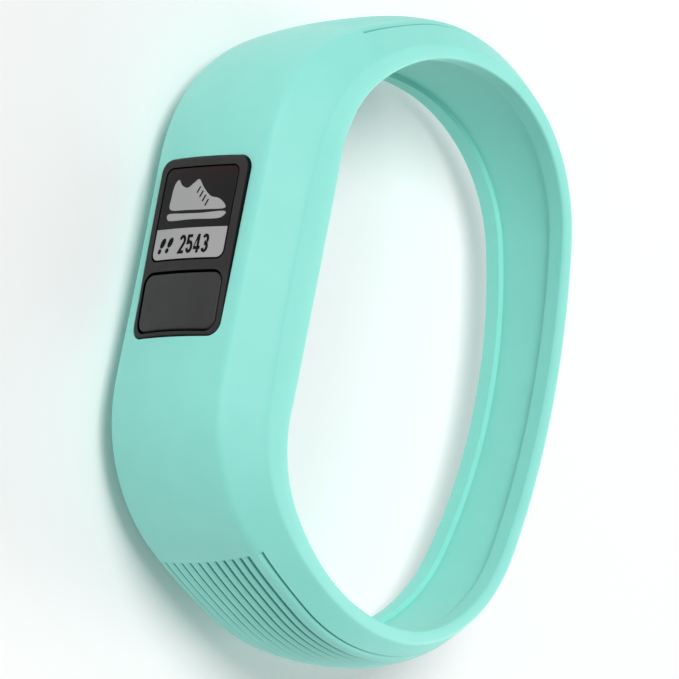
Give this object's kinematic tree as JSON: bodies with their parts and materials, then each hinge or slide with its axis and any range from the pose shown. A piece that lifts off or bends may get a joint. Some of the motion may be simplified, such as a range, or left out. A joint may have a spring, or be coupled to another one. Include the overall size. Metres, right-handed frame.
{
  "type": "fitness tracker band",
  "caption": "One-piece oval wrist loop in soft silicone, wide at the front and narrow behind, holding a sealed tracker with a small display and a press key.",
  "frame": {"origin": "under the middle of the band's box, on the surface that the band lies on", "axes": "+Z along the wrist's axis; the display faces -Y; the top of the display is towards -X"},
  "size_m": [0.072, 0.055, 0.0217],
  "materials": {
    "band_silicone": "soft matte silicone, mint",
    "case_plastic": "fine matte charcoal",
    "key_plastic": "matte charcoal, slightly lighter",
    "lens_window": "hard coated dark window",
    "seal_rubber": "black",
    "display_glass": "reflective display cell",
    "flex_film": "amber film",
    "inner_plastic": "moulded",
    "board_laminate": "solder mask",
    "chip_resin": "moulded resin",
    "ceramic": "fired ceramic",
    "steel_sheet": "pressed sheet",
    "cell_steel": "plated can",
    "contact_metal": "plated spring metal",
    "screw_steel": "machined"
  },
  "bodies": {
    "band": {"band": "band_silicone"},
    "tracker": {"front_case": "case_plastic", "display_lens": "lens_window", "lens_adhesive": "seal_rubber", "display_panel": "display_glass", "display_backplate": "steel_sheet", "display_flex": "flex_film", "inner_frame": "inner_plastic", "main_board": "board_laminate", "processor_chip": "chip_resin", "memory_chip": "chip_resin", "motion_sensor": "chip_resin", "timing_crystal": "steel_sheet", "antenna": "ceramic", "board_capacitors": "ceramic", "switch_base": "inner_plastic", "switch_dome": "steel_sheet", "key_seal": "seal_rubber", "battery_cell": "cell_steel", "contact_negative": "contact_metal", "contact_positive": "contact_metal", "cover_gasket": "seal_rubber", "rear_cover": "case_plastic", "cover_screws": "screw_steel"},
    "key": {"key_cap": "key_plastic", "key_plunger": "inner_plastic"}
  },
  "joints": [
    {"name": "tracker_release", "type": "slide", "parent": "band", "child": "tracker", "axis": [0, 1, 0], "range_m": [0, 0.012]},
    {"name": "key_press", "type": "slide", "parent": "tracker", "child": "key", "axis": [0, 1, 0], "range_m": [0, 0.0004], "stiffness_N_per_m": 2500}
  ]
}
